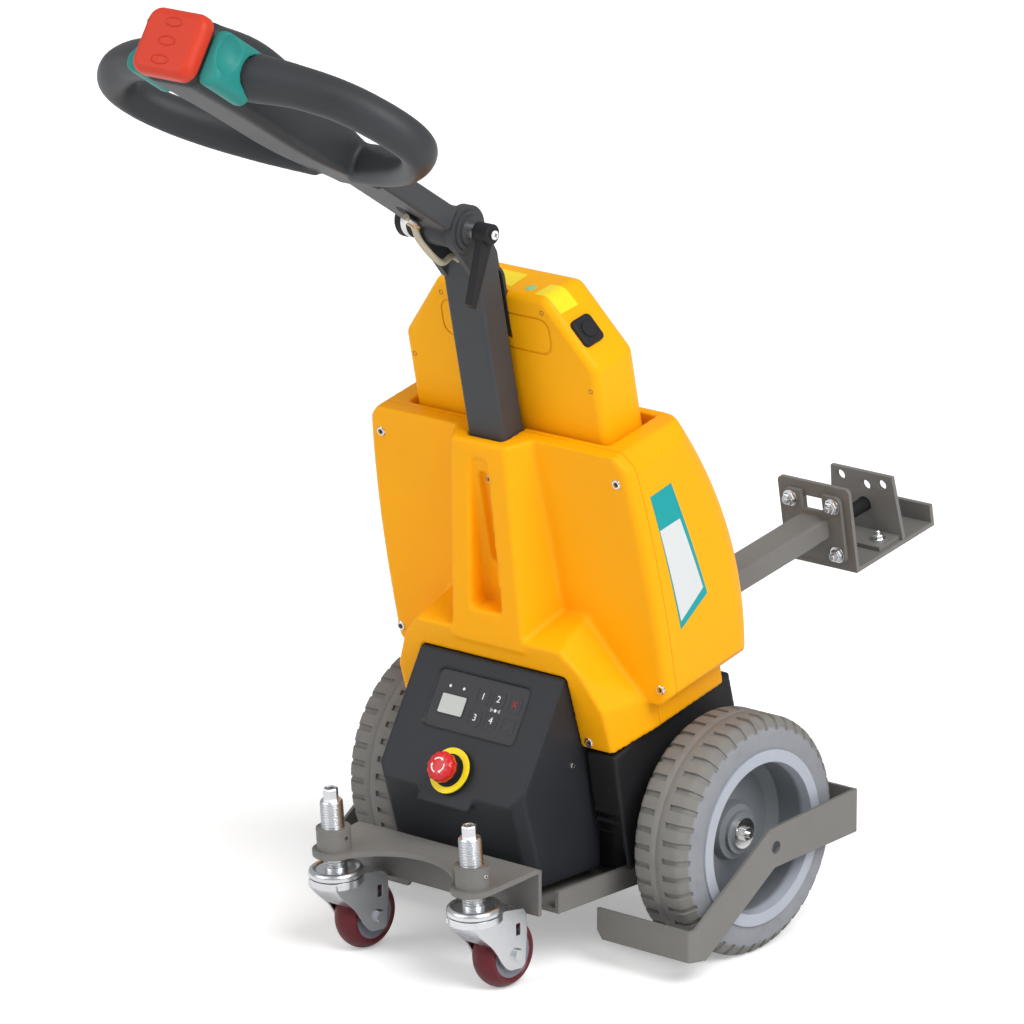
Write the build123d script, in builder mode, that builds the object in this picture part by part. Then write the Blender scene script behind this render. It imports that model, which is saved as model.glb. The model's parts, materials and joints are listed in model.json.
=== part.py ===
"""A walk-behind electric tow tug, in millimetres, upright, with the operator on the -Y side."""
import os
from math import asin, cos, degrees, radians, sin

from build123d import *

# Ground wheels
WHEEL_R = 130.0
TYRE_W = 76.0
TYRE_FACE_X = 238.5
RIM_SEAT_R = 84.0
RIM_FLANGE_R = 95.8
RIM_FLANGE_T = 2.5
RIM_WALL = 4.0
HUB_R = 30.0
AXLE_R = 10.0
RUN_FIT = 0.05
CURVE_GAP = 0.3

# Castors
CASTOR_R = 38.5
CASTOR_W = 30.0
CASTOR_X = 97.0
CASTOR_STEM_Y = -295.0
CASTOR_TRAIL = 41.0
STEM_LEAN = 5.2
STEM_R = 12.5
SWIVEL_R = 29.5
FORK_HALF_X = 20.0
FORK_T = 3.0

# Leaning body
LEAN = 12.5
SHELL_TOP_W = 458.0
SHELL_LOW_W = 172.0
SHELL_TOP_HALF_X = 177.0
SHELL_LOW_HALF_X = 191.0
SHELL_FRONT_V = -59.0
SHELL_TOP_BACK_V = 54.0
SHELL_LOW_BACK_V = 92.0
SHELL_SEAM_V = -44.0
SKIRT_HALF_X = 160.0
SKIRT_LOW_W = 137.0
SEAM_GAP = 0.4
SLOT_FLOOR_V = -85.0
HOUSING_HALF_X = 145.0
BATTERY_HALF_X = 132.0
BATTERY_FRONT_V = -32.0
BATTERY_BACK_V = 40.0
BATTERY_TOP_W = 612.0
BATTERY_LOW_W = 300.0
BATTERY_FLAT_HALF_X = 74.0
BATTERY_SHOULDER_W = 540.0
BAY_GAP = 6.0
HANDLE_HALF_X = 22.0
HANDLE_T = 5.0
HANDLE_LOW_W = 560.0
HANDLE_TOP_W = 640.0

# Tiller
TILLER_RISE = 32.2
POST_W = 50.0
POST_D = 35.0
POST_WALL = 3.0
POST_FRONT_V = -72.0
POST_LOW_W = 235.0
PIVOT_V = -77.0
PIVOT_W = 702.0
EYE_RISE = 42.0
POST_TOP_W = PIVOT_W - EYE_RISE
EYE_R = 26.0
EYE_T = 8.0
PIN_R = 6.0
EYE_FACE_X = 33.0
HUB_X = 41.0
KNOB_X = 50.0
KNOB_R = 19.0
TUBE_W = 58.0
TUBE_D = 26.0
HEAD_START = 150.0
HEAD_END = 478.0
BUTTON_END = 494.0
BUTTON_LOW = 26.0
CABLE_R = 3.5

# Coupling
ARM_PITCH = 10.5
ARM_W = 40.0
ARM_H = 25.0
ARM_WALL = 3.0
PLATE_Y = 390.0
PLATE_Z = 347.0
PLATE_SIDE = 100.0
PLATE_T = 5.0
COUPLING_LENGTH = 141.0
LIP_H = 26.0
TONGUE_U = 84.0
HOLE_R = 6.0

# Wheel guards
GUARD_T = 4.0

# Console
CONSOLE_HALF_X = 100.0
KEYPAD_W = 126.0
KEYPAD_H = 64.0
KEYPAD_SUNK = 5.0
STOP_V = -124.0
STOP_RING_R = 25.0
STOP_BUTTON_R = 17.0

AXLE_Z = WHEEL_R


def tip_y():
    """How far in front of the axle the belly button ends."""
    pivot_y = PIVOT_V * cos(radians(LEAN)) - PIVOT_W * sin(radians(LEAN))
    return pivot_y - BUTTON_END * cos(radians(TILLER_RISE)) - BUTTON_LOW * sin(radians(TILLER_RISE))


def tail_y():
    """How far behind the axle the coupling ends."""
    return PLATE_Y + COUPLING_LENGTH * cos(radians(ARM_PITCH)) + PLATE_SIDE / 2 * sin(radians(ARM_PITCH))


AXLE_Y = -(tip_y() + tail_y()) / 2

BODY = Plane(origin=(0, AXLE_Y, AXLE_Z), x_dir=(1, 0, 0), z_dir=(0, -sin(radians(LEAN)), cos(radians(LEAN))))
PIVOT = BODY.from_local_coords(Vector(0, PIVOT_V, PIVOT_W))
TILLER = Plane(origin=PIVOT, x_dir=(1, 0, 0),
               z_dir=(0, -cos(radians(TILLER_RISE)), sin(radians(TILLER_RISE))))
ARM = Plane(origin=(0, AXLE_Y + PLATE_Y, PLATE_Z), x_dir=(-1, 0, 0),
            z_dir=(0, cos(radians(ARM_PITCH)), sin(radians(ARM_PITCH))))
WORLD = Plane(origin=(0, AXLE_Y, 0), x_dir=(1, 0, 0), z_dir=(0, 0, 1))
SIDE = Plane(origin=(0, AXLE_Y, 0), x_dir=(0, 1, 0), z_dir=(1, 0, 0))
CONSOLE_FACE = Plane(origin=(0, AXLE_Y - 160, 314), x_dir=(1, 0, 0), z_dir=(0, -0.867, 0.498))


def body_plane(w):
    """The cross-section of the leaning body at height w along it."""
    return Plane(origin=BODY.from_local_coords(Vector(0, 0, w)), x_dir=BODY.x_dir, z_dir=BODY.z_dir)


def tiller_plane(t):
    """The cross-section of the tiller at distance t from its pivot."""
    return Plane(origin=TILLER.from_local_coords(Vector(0, 0, t)), x_dir=TILLER.x_dir, z_dir=TILLER.z_dir)


def arm_plane(u):
    """The cross-section of the coupling at distance u behind its first plate."""
    return Plane(origin=ARM.from_local_coords(Vector(0, 0, u)), x_dir=ARM.x_dir, z_dir=ARM.z_dir)


def save(part, name):
    """Labels one piece and writes it to its own file."""
    part.label = name
    export_step(part, f"parts/{name}.step")


def wheels():
    """Tyre, rim and axle shaft of each ground wheel."""
    inner_x = TYRE_FACE_X - TYRE_W
    for side, name in ((1, "right"), (-1, "left")):
        outer = side * TYRE_FACE_X
        inner = side * inner_x
        centre = Plane(origin=(0, AXLE_Y, AXLE_Z), x_dir=(1, 0, 0), z_dir=(0, -1, 0))
        with BuildPart() as tyre:
            with BuildSketch(centre):
                with BuildLine():
                    Polyline((inner, RIM_SEAT_R), (outer, RIM_SEAT_R), (outer, WHEEL_R - 14),
                             (outer - side * 9, WHEEL_R - 2), (outer - side * 14, WHEEL_R),
                             (inner + side * 14, WHEEL_R), (inner + side * 9, WHEEL_R - 2),
                             (inner, WHEEL_R - 14), close=True)
                make_face()
            revolve(axis=Axis((0, AXLE_Y, AXLE_Z), (1, 0, 0)))
        save(tyre.part, f"tyre_{name}")

        face = outer + side * RIM_FLANGE_T
        back = inner - side * RIM_FLANGE_T
        with BuildPart() as rim:
            with BuildSketch(centre):
                with BuildLine():
                    Polyline((back, RIM_SEAT_R - RIM_WALL), (back, RIM_FLANGE_R), (inner, RIM_FLANGE_R),
                             (inner, RIM_SEAT_R), (outer, RIM_SEAT_R), (outer, RIM_FLANGE_R),
                             (face, RIM_FLANGE_R), (face, RIM_SEAT_R - 1.5), (outer - side * 12, RIM_SEAT_R - RIM_WALL),
                             (side * 198, RIM_SEAT_R - RIM_WALL), (side * 188, RIM_SEAT_R - 14),
                             (side * 196, HUB_R + 3), (side * 206, HUB_R), (side * 208, HUB_R - 7),
                             (side * 212, HUB_R - 7), (side * 212, AXLE_R), (back, AXLE_R),
                             (back, HUB_R), (side * 184, HUB_R), (side * 180, RIM_SEAT_R - 14),
                             (side * 188, RIM_SEAT_R - RIM_WALL), close=True)
                make_face()
            revolve(axis=Axis((0, AXLE_Y, AXLE_Z), (1, 0, 0)))
        save(rim.part, f"rim_{name}")

        end = Plane(origin=(side * 110, AXLE_Y, AXLE_Z), x_dir=(0, 1, 0), z_dir=(side, 0, 0))
        with BuildPart() as shaft:
            with BuildSketch(end):
                Circle(AXLE_R)
            extrude(amount=212 - 110)
            with BuildSketch(end.offset(212 - 110)):
                Circle(16.6)
            extrude(amount=4)
            with BuildSketch(end.offset(216 - 110)):
                RegularPolygon(7.5, 6)
            extrude(amount=5)
            with BuildSketch(end.offset(221 - 110)):
                Circle(3.5)
            extrude(amount=4)
        save(shaft.part, f"axle_shaft_{name}")


def drive_unit():
    """The transaxle between the wheels, one plain heavy block with a boss for each shaft."""
    with BuildPart() as unit:
        with BuildSketch(Plane(origin=(0, AXLE_Y, AXLE_Z - 50), x_dir=(1, 0, 0), z_dir=(0, 0, 1))):
            Rectangle(200, 130)
        extrude(amount=100)
        fillet(unit.edges().filter_by(Axis.Z), 15)
        for side in (1, -1):
            with BuildSketch(Plane(origin=(side * 95, AXLE_Y, AXLE_Z), x_dir=(0, 1, 0), z_dir=(side, 0, 0))):
                Circle(28)
            extrude(amount=60)
            with BuildSketch(Plane(origin=(side * 100, AXLE_Y, AXLE_Z), x_dir=(0, 1, 0), z_dir=(side, 0, 0))):
                Circle(AXLE_R + RUN_FIT)
            extrude(amount=60, mode=Mode.SUBTRACT)
    save(unit.part, "drive_unit")


def chassis_frame():
    """The steel tray that carries the drive unit, with two side rails."""
    with BuildPart() as frame:
        with BuildSketch(Plane(origin=(0, AXLE_Y - 40, 74), x_dir=(1, 0, 0), z_dir=(0, 0, 1))):
            Rectangle(264, 330)
        extrude(amount=5)
        for side in (1, -1):
            with BuildSketch(Plane(origin=(side * 129.5, AXLE_Y - 40, 74), x_dir=(1, 0, 0), z_dir=(0, 0, 1))):
                Rectangle(5, 330)
            extrude(amount=24)
    save(frame.part, "chassis_frame")


def castor_bracket():
    """The lobed plate in front of the console, folded down in front of the frame."""
    lean = Plane(origin=(0, AXLE_Y - 300.6, 116), x_dir=(1, 0, 0),
                 z_dir=(0, -sin(radians(STEM_LEAN)), cos(radians(STEM_LEAN))))
    with BuildPart() as bracket:
        with BuildSketch(lean):
            with BuildLine():
                arch = ThreePointArc((74, -6), (0, 33), (-74, -6))
                Polyline(arch @ 1, (-CASTOR_X, -20), (-CASTOR_X - 24, 0), (-125, 72), (125, 72), (CASTOR_X + 24, 0),
                         (CASTOR_X, -20), arch @ 0)
            make_face()
            with Locations((CASTOR_X, 0), (-CASTOR_X, 0)):
                Circle(24)
        extrude(amount=6)
        with BuildSketch(Plane(origin=(0, AXLE_Y - 229, 125.5), x_dir=(1, 0, 0), z_dir=(0, -1, 0))):
            Rectangle(250, 50, align=(Align.CENTER, Align.MAX))
        extrude(amount=-5)
        fillet(bracket.edges().filter_by(Axis.X).group_by(Axis.Z)[-1], 3)
        with BuildSketch(lean.offset(6)):
            with Locations((CASTOR_X, 0), (-CASTOR_X, 0)):
                Circle(18.5)
        extrude(amount=24)
        with BuildSketch(lean.offset(-1)):
            with Locations((CASTOR_X, 0), (-CASTOR_X, 0)):
                Circle(STEM_R)
        extrude(amount=40, mode=Mode.SUBTRACT)
        with BuildSketch(Plane(origin=lean.from_local_coords(Vector(0, 0, 20)), x_dir=lean.y_dir, z_dir=(1, 0, 0))):
            Circle(2.6)
        extrude(amount=CASTOR_X + 20, both=True, mode=Mode.SUBTRACT)
    save(bracket.part, "castor_bracket")
    return lean


def castors(lean):
    """Threaded stem with its bearing ring, swivelling fork and wheel of each castor."""
    for side, name in ((1, "right"), (-1, "left")):
        x = side * CASTOR_X
        foot = Plane(origin=lean.from_local_coords(Vector(x, 0, -24)), x_dir=lean.x_dir, z_dir=lean.z_dir)
        with BuildPart() as stem:
            with BuildSketch(foot):
                Circle(SWIVEL_R + 0.5)
            extrude(amount=9)
            fillet(stem.edges().group_by(Axis.Z)[-1], 4.5)
            with BuildSketch(foot.offset(-11)):
                Circle(5.5)
            extrude(amount=12)
            with BuildSketch(foot.offset(8)):
                Circle(STEM_R)
            extrude(amount=77)
            chamfer(stem.edges().group_by(Axis.Z)[-1], 1.5)
            with BuildSketch(foot.offset(85)):
                RegularPolygon(8.5, 6)
            extrude(amount=13)
        save(stem.part, f"castor_stem_{name}")

        wheel_y = CASTOR_STEM_Y + CASTOR_TRAIL
        upright = Plane(origin=(x, AXLE_Y, 0), x_dir=(0, 1, 0), z_dir=(1, 0, 0))
        with BuildPart() as fork:
            with BuildSketch(upright):
                with BuildLine():
                    brow = Spline((-321, 82), (-306, 66), (-290, 52), (-277, 34), (-269, 26))
                    Polyline(brow @ 1, (-263, 23), (-246, 22), (-241, 26), (-238, 60), (-239, 80), (-244, 87),
                             (-272, 91), (-321, 87), brow @ 0)
                make_face()
            extrude(amount=FORK_HALF_X, both=True)
            with BuildSketch(foot.offset(-8.5)):
                Circle(SWIVEL_R - 0.5)
            extrude(amount=8)
            with BuildSketch(upright):
                with Locations((wheel_y, CASTOR_R)):
                    Circle(CASTOR_R + 5)
                with Locations((wheel_y, CASTOR_R - 40)):
                    Rectangle(100, 80)
            extrude(amount=FORK_HALF_X - FORK_T, both=True, mode=Mode.SUBTRACT)
            with BuildSketch(upright):
                with Locations((-252, 66)):
                    Rectangle(7, 13)
            extrude(amount=30, both=True, mode=Mode.SUBTRACT)
            with BuildSketch(upright):
                with Locations((wheel_y, CASTOR_R)):
                    Circle(4)
            extrude(amount=FORK_HALF_X, both=True)
            for end in (1, -1):
                with BuildSketch(upright.offset(end * (FORK_HALF_X - 0.5))):
                    with Locations((wheel_y, CASTOR_R)):
                        RegularPolygon(7, 6)
                extrude(amount=end * 4.5)
            with BuildSketch(foot.offset(-30)):
                Circle(5.5 + RUN_FIT)
            extrude(amount=60, mode=Mode.SUBTRACT)
        save(fork.part, f"castor_fork_{name}")

        half = CASTOR_W / 2
        with BuildPart() as wheel:
            with BuildSketch(Plane(origin=(x, AXLE_Y + wheel_y, CASTOR_R), x_dir=(1, 0, 0), z_dir=(0, -1, 0))):
                with BuildLine():
                    crown = ThreePointArc((-half, CASTOR_R - 7), (0, CASTOR_R), (half, CASTOR_R - 7))
                    Polyline(crown @ 1, (half, 28), (half - 2, 26), (half - 2, 10), (half, 9), (half, 4 + RUN_FIT),
                             (-half, 4 + RUN_FIT), (-half, 9), (2 - half, 10), (2 - half, 26), (-half, 28), crown @ 0)
                make_face()
            revolve(axis=Axis((x, AXLE_Y + wheel_y, CASTOR_R), (1, 0, 0)))
        save(wheel.part, f"castor_wheel_{name}")


def lower_housing():
    """The dark moulded skirt between the wheels, open underneath."""
    with BuildPart() as housing:
        with BuildSketch(SIDE):
            with BuildLine():
                Polyline((-104, 99), (-129, 229), (-73, 252), (29, 274), (60, 281), (110, 99), close=True)
            make_face()
        extrude(amount=HOUSING_HALF_X, both=True)
        with BuildSketch(SIDE):
            with BuildLine():
                Polyline((-99, 60), (-124, 226), (-73, 247), (29, 269), (56, 276), (105, 60), close=True)
            make_face()
        extrude(amount=HOUSING_HALF_X - 5, both=True, mode=Mode.SUBTRACT)
        with BuildSketch(SIDE):
            with BuildLine():
                Polyline((-32, 60), (-32, 162), (32, 162), (32, 60), close=True)
            make_face()
        extrude(amount=160, both=True, mode=Mode.SUBTRACT)
        with BuildSketch(arm_plane(-400)):
            with Locations((0, -4)):
                Rectangle(ARM_W + 6, ARM_H + 16)
        extrude(amount=300, mode=Mode.SUBTRACT)
        with BuildSketch(Plane(origin=(0, AXLE_Y - 120, 60), x_dir=(1, 0, 0), z_dir=(0, 0, 1))):
            Rectangle(208, 80)
        extrude(amount=260, mode=Mode.SUBTRACT)
    save(housing.part, "lower_housing")


def shell_section(w, half_x, front_v, back_v, back_r, front_r):
    """One rounded cross-section of the yellow shell."""
    with BuildSketch(body_plane(w)) as section:
        with Locations((0, (front_v + back_v) / 2)):
            Rectangle(2 * half_x, back_v - front_v)
        fillet(section.vertices().sort_by(Axis.Y)[:2], front_r)
        fillet(section.vertices().sort_by(Axis.Y)[-2:], back_r)
    return section.sketch


def skirt_sections():
    """The hood around the console, as one outline on the body's face and one in front."""
    near = Plane(origin=BODY.from_local_coords(Vector(0, SHELL_FRONT_V + 6, 0)), x_dir=(1, 0, 0), z_dir=-1 * BODY.y_dir)
    far = Plane(origin=BODY.from_local_coords(Vector(0, -117, 246)), x_dir=(1, 0, 0), z_dir=-1 * BODY.y_dir)
    far = far.rotated((5.3, 0, 0))
    with BuildSketch(near) as root:
        with BuildLine():
            Polyline((-160, SKIRT_LOW_W), (-160, 176), (-118, 226), (-93, 262), (93, 262), (118, 226), (160, 176),
                     (160, SKIRT_LOW_W), close=True)
        make_face()
    with BuildSketch(far) as tip:
        with BuildLine():
            Polyline((-143, -118), (-143, -66), (-124, -26), (-100, 0), (100, 0), (124, -26), (143, -66),
                     (143, -118), close=True)
        make_face()
    return root.sketch, tip.sketch


def shells():
    """The front and rear halves of the yellow body shell."""
    with BuildPart() as shell:
        loft([shell_section(SHELL_LOW_W, SHELL_LOW_HALF_X - 1, SHELL_FRONT_V, SHELL_LOW_BACK_V, 36, 10),
              shell_section(286, SHELL_LOW_HALF_X, SHELL_FRONT_V, SHELL_LOW_BACK_V + 5, 36, 10),
              shell_section(370, SHELL_LOW_HALF_X - 4, SHELL_FRONT_V, SHELL_LOW_BACK_V - 9, 36, 10),
              shell_section(SHELL_TOP_W, SHELL_TOP_HALF_X, SHELL_FRONT_V, SHELL_TOP_BACK_V, 36, 10)])
        front = Plane(origin=BODY.origin, x_dir=(1, 0, 0), z_dir=-1 * BODY.y_dir)
        for s in (1, -1):
            with BuildSketch(front):
                with BuildLine():
                    Polyline((s * 164, SHELL_TOP_W + 4), (s * 164, SHELL_TOP_W), (s * 200, SHELL_TOP_W - 36),
                             (s * 200, SHELL_TOP_W + 4), close=True)
                make_face()
                with BuildLine():
                    Polyline((s * 178, SHELL_LOW_W - 1), (s * 200, SHELL_LOW_W + 21), (s * 200, SHELL_LOW_W - 1),
                             close=True)
                make_face()
            extrude(amount=150, both=True, mode=Mode.SUBTRACT)
    with BuildPart() as column:
        for w, half_front, half_back, reach in ((458, 37, 58, -86), (235, 50, 62, -118)):
            with BuildSketch(body_plane(w)):
                with BuildLine():
                    Polyline((-half_back, SHELL_FRONT_V + 8), (-half_front, reach), (half_front, reach),
                             (half_back, SHELL_FRONT_V + 8), close=True)
                make_face()
        loft()
    with BuildPart() as skirt:
        loft(skirt_sections(), ruled=True)
        with BuildSketch(body_plane(SKIRT_LOW_W)):
            with Locations((0, 5)):
                Rectangle(2 * SKIRT_HALF_X, 118)
        extrude(amount=SHELL_LOW_W - SKIRT_LOW_W + 10)
    with BuildPart() as hull:
        add(shell.part)
        add(column.part)
        add(skirt.part)
        with BuildSketch(front.offset(-SLOT_FLOOR_V)):
            with BuildLine():
                Polyline((-11, 440), (11, 440), (21, 272), (-21, 272), close=True)
            make_face()
        extrude(amount=60, mode=Mode.SUBTRACT)
        with BuildSketch(front.offset(-SLOT_FLOOR_V - 9)):
            with Locations((0, 370)):
                RectangleRounded(13, 104, 4)
        extrude(amount=60, mode=Mode.SUBTRACT)
        with BuildSketch(body_plane(BATTERY_LOW_W - BAY_GAP)):
            with Locations((0, (BATTERY_FRONT_V + BATTERY_BACK_V) / 2)):
                Rectangle(2 * (BATTERY_HALF_X + BAY_GAP), BATTERY_BACK_V - BATTERY_FRONT_V + 2 * 4)
        extrude(amount=400, mode=Mode.SUBTRACT)
        with BuildSketch(body_plane(POST_LOW_W - 60)):
            with Locations((0, POST_FRONT_V + POST_D / 2)):
                Rectangle(POST_W + 1, POST_D + 1)
        extrude(amount=500, mode=Mode.SUBTRACT)
        with BuildSketch(body_plane(100)):
            with BuildLine():
                Polyline((-147, 60), (147, 60), (147, -40), (112, -100), (-112, -100), (-147, -40), close=True)
            make_face()
        extrude(amount=112, mode=Mode.SUBTRACT)
        with BuildSketch(SIDE):
            with BuildLine():
                Polyline(*console_outline(0.5), close=True)
            make_face()
        extrude(amount=CONSOLE_HALF_X + 0.5, both=True, mode=Mode.SUBTRACT)
    seam = BODY.from_local_coords(Vector(0, SHELL_SEAM_V, 0))
    cut = Plane(origin=seam, x_dir=(1, 0, 0), z_dir=BODY.y_dir)
    with BuildPart() as front:
        add(hull.part)
        split(bisect_by=cut.offset(-SEAM_GAP / 2), keep=Keep.BOTTOM)
    with BuildPart() as rear:
        add(hull.part)
        split(bisect_by=cut.offset(SEAM_GAP / 2), keep=Keep.TOP)
    save(front.part, "front_shell")
    save(rear.part, "rear_shell")


def console_outline(gap):
    """Side outline of the control console, grown by a gap."""
    return [(-160 - gap, 314 + gap), (-233 - gap, 187), (-203 - gap, 92 - gap), (-98, 92 - gap),
            (-98, 314 + gap)]


def console():
    """The dark control console, its keypad and the emergency stop button."""
    pad = CONSOLE_FACE.offset(-KEYPAD_SUNK)
    pad_v = -50.0
    with BuildPart() as body:
        with BuildSketch(SIDE):
            with BuildLine():
                Polyline(*console_outline(0), close=True)
            make_face()
        extrude(amount=CONSOLE_HALF_X, both=True)
        chamfer(body.edges().filter_by(Axis.X, reverse=True).group_by(Axis.Y)[0], 12)
        with BuildSketch(pad):
            with Locations((0, pad_v)):
                RectangleRounded(KEYPAD_W, KEYPAD_H, 6)
        extrude(amount=20, mode=Mode.SUBTRACT)
        with BuildSketch(CONSOLE_FACE):
            with BuildLine():
                Polyline((-42, -95), (42, -95), (36, -162), (-36, -162), close=True)
            make_face()
        extrude(amount=5, taper=20)
    save(body.part, "control_console")
    with BuildPart() as keypad:
        with BuildSketch(pad):
            with Locations((0, pad_v)):
                RectangleRounded(KEYPAD_W - 1, KEYPAD_H - 1, 5.5)
        extrude(amount=2)
    save(keypad.part, "keypad_panel")
    stop = Plane(origin=CONSOLE_FACE.from_local_coords(Vector(0, STOP_V, 5)), x_dir=(1, 0, 0),
                 z_dir=CONSOLE_FACE.z_dir)
    with BuildPart() as base:
        with BuildSketch(stop):
            Circle(STOP_RING_R)
        extrude(amount=2)
        with BuildSketch(stop.offset(2)):
            Circle(11)
        extrude(amount=7)
    save(base.part, "emergency_stop_base")
    with BuildPart() as button:
        with BuildSketch(stop.offset(9)):
            Circle(STOP_BUTTON_R)
        extrude(amount=13)
        fillet(button.edges().sort_by(Axis(stop.origin, stop.z_dir))[-1], 3)
    save(button.part, "emergency_stop_button")


def battery():
    """The lift-out battery pack, its strap handle and its charge port cover."""
    depth = BATTERY_BACK_V - BATTERY_FRONT_V
    face = Plane(origin=BODY.from_local_coords(Vector(0, BATTERY_FRONT_V, 0)), x_dir=(1, 0, 0),
                 z_dir=-1 * BODY.y_dir)
    with BuildPart() as pack:
        with BuildSketch(face):
            with BuildLine():
                Polyline((-BATTERY_HALF_X, BATTERY_LOW_W), (BATTERY_HALF_X, BATTERY_LOW_W),
                         (BATTERY_HALF_X, BATTERY_SHOULDER_W), (BATTERY_FLAT_HALF_X, BATTERY_TOP_W),
                         (-BATTERY_FLAT_HALF_X, BATTERY_TOP_W), (-BATTERY_HALF_X, BATTERY_SHOULDER_W), close=True)
            make_face()
        extrude(amount=-depth)
        fillet(pack.edges().filter_by(Axis((0, 0, 0), tuple(BODY.y_dir))), 14)
        across = Axis(BODY.origin, BODY.y_dir)
        fillet(pack.faces().sort_by(across)[-1].edges(), 22)
        fillet(pack.faces().sort_by(across)[0].edges(), 9)
        with BuildSketch(face):
            with Locations((0, HANDLE_LOW_W - 1 + 50)):
                Rectangle(2 * HANDLE_HALF_X + 1, 100)
        extrude(amount=-HANDLE_T - 0.5, mode=Mode.SUBTRACT)
        with BuildSketch(face):
            with Locations((2, 568)):
                RectangleRounded(150, 42, 14)
                RectangleRounded(146, 38, 12, mode=Mode.SUBTRACT)
        extrude(amount=-1, mode=Mode.SUBTRACT)
    save(pack.part, "battery_pack")
    with BuildPart() as handle:
        with BuildSketch(face):
            with Locations((0, (HANDLE_LOW_W + HANDLE_TOP_W) / 2)):
                RectangleRounded(2 * HANDLE_HALF_X, HANDLE_TOP_W - HANDLE_LOW_W, 12)
        extrude(amount=-HANDLE_T)
        fillet(handle.faces().sort_by(across)[-1].edges(), 2)
    save(handle.part, "battery_handle")
    slope = Vector(BATTERY_HALF_X - BATTERY_FLAT_HALF_X, 0, BATTERY_SHOULDER_W - BATTERY_TOP_W)
    along = BODY.from_local_coords(slope) - BODY.from_local_coords(Vector(0, 0, 0))
    middle = Vector(BATTERY_FLAT_HALF_X, -9, BATTERY_TOP_W) + slope * 0.56
    port = Plane(origin=BODY.from_local_coords(middle), x_dir=along, z_dir=BODY.y_dir.cross(along) * -1)
    with BuildPart() as cover:
        with BuildSketch(port):
            RectangleRounded(32, 29, 6)
        extrude(amount=5)
        fillet(cover.faces().sort_by(Axis(port.origin, port.z_dir))[-1].edges(), 2)
        with BuildSketch(port.offset(5)):
            Circle(9)
        extrude(amount=2)
    save(cover.part, "charge_port_cover")


def post():
    """The square steering post with its two pivot eyes."""
    mid_v = POST_FRONT_V + POST_D / 2
    side = Plane(origin=BODY.origin, x_dir=BODY.y_dir, z_dir=(1, 0, 0))
    with BuildPart() as tube:
        with BuildSketch(body_plane(POST_LOW_W)):
            with Locations((0, mid_v)):
                RectangleRounded(POST_W, POST_D, 5)
                RectangleRounded(POST_W - 2 * POST_WALL, POST_D - 2 * POST_WALL, 2.5, mode=Mode.SUBTRACT)
        extrude(amount=POST_TOP_W - POST_LOW_W)
        for s in (1, -1):
            with BuildSketch(side.offset(s * POST_W / 2)):
                with BuildLine():
                    Polyline((mid_v - POST_D / 2, POST_TOP_W - 20), (mid_v + POST_D / 2, POST_TOP_W - 20),
                             (mid_v + POST_D / 2, POST_TOP_W), (PIVOT_V + EYE_R * 0.8, PIVOT_W + EYE_R * 0.6),
                             (PIVOT_V - EYE_R * 0.7, PIVOT_W - EYE_R * 0.7), close=True)
                make_face()
                with Locations((PIVOT_V, PIVOT_W)):
                    Circle(EYE_R)
            extrude(amount=-s * EYE_T)
            for r, reach in ((EYE_R, 2), (EYE_R - 5, 5), (EYE_R - 10, EYE_FACE_X - POST_W / 2)):
                with BuildSketch(side.offset(s * POST_W / 2)):
                    with Locations((PIVOT_V, PIVOT_W)):
                        Circle(r)
                extrude(amount=s * reach)
        with BuildSketch(side):
            with Locations((PIVOT_V, PIVOT_W)):
                Circle(PIN_R)
        extrude(amount=EYE_FACE_X, both=True, mode=Mode.SUBTRACT)
    save(tube.part, "tiller_post")


def clamp():
    """The clamp bolt through the pivot with its spacer and far knob, and its lever."""
    pin = Plane(origin=PIVOT, x_dir=(0, 1, 0), z_dir=(1, 0, 0))
    with BuildPart() as bolt:
        with BuildSketch(pin):
            Circle(PIN_R)
        extrude(amount=KNOB_X, both=True)
        with BuildSketch(pin.offset(EYE_FACE_X)):
            Circle(9.5)
        extrude(amount=HUB_X - EYE_FACE_X)
        with BuildSketch(pin.offset(-EYE_FACE_X)):
            Circle(11)
        extrude(amount=EYE_FACE_X - HUB_X)
        with BuildSketch(pin.offset(-KNOB_X)):
            Circle(KNOB_R)
        extrude(amount=8)
    save(bolt.part, "clamp_bolt")
    with BuildPart() as lever:
        with BuildSketch(pin.offset(HUB_X)):
            Circle(11)
        extrude(amount=20)
        fillet(lever.edges().group_by(Axis.X)[-1], 2)
        with BuildSketch(pin.offset(HUB_X + 5)):
            with BuildLine():
                Polyline((-9, -2), (10, 0), (-20, -76), (-27, -70), close=True)
            make_face()
        extrude(amount=9)
        with BuildSketch(pin.offset(HUB_X)):
            Circle(PIN_R)
        extrude(amount=KNOB_X - HUB_X, mode=Mode.SUBTRACT)
        with BuildSketch(pin.offset(HUB_X + 19)):
            Circle(5)
        extrude(amount=3)
    save(lever.part, "clamp_lever")


def tiller_point(x, t, below):
    """A point of the tiller, at distance t from its pivot and below its middle line."""
    return TILLER.from_local_coords(Vector(x, -below, t))


def head_section(t, width, top, bottom, r):
    """One rounded cross-section of the tiller head."""
    with BuildSketch(tiller_plane(t)) as section:
        with Locations((0, (top - bottom) / 2)):
            RectangleRounded(width, top + bottom, r)
    return section.sketch


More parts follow.
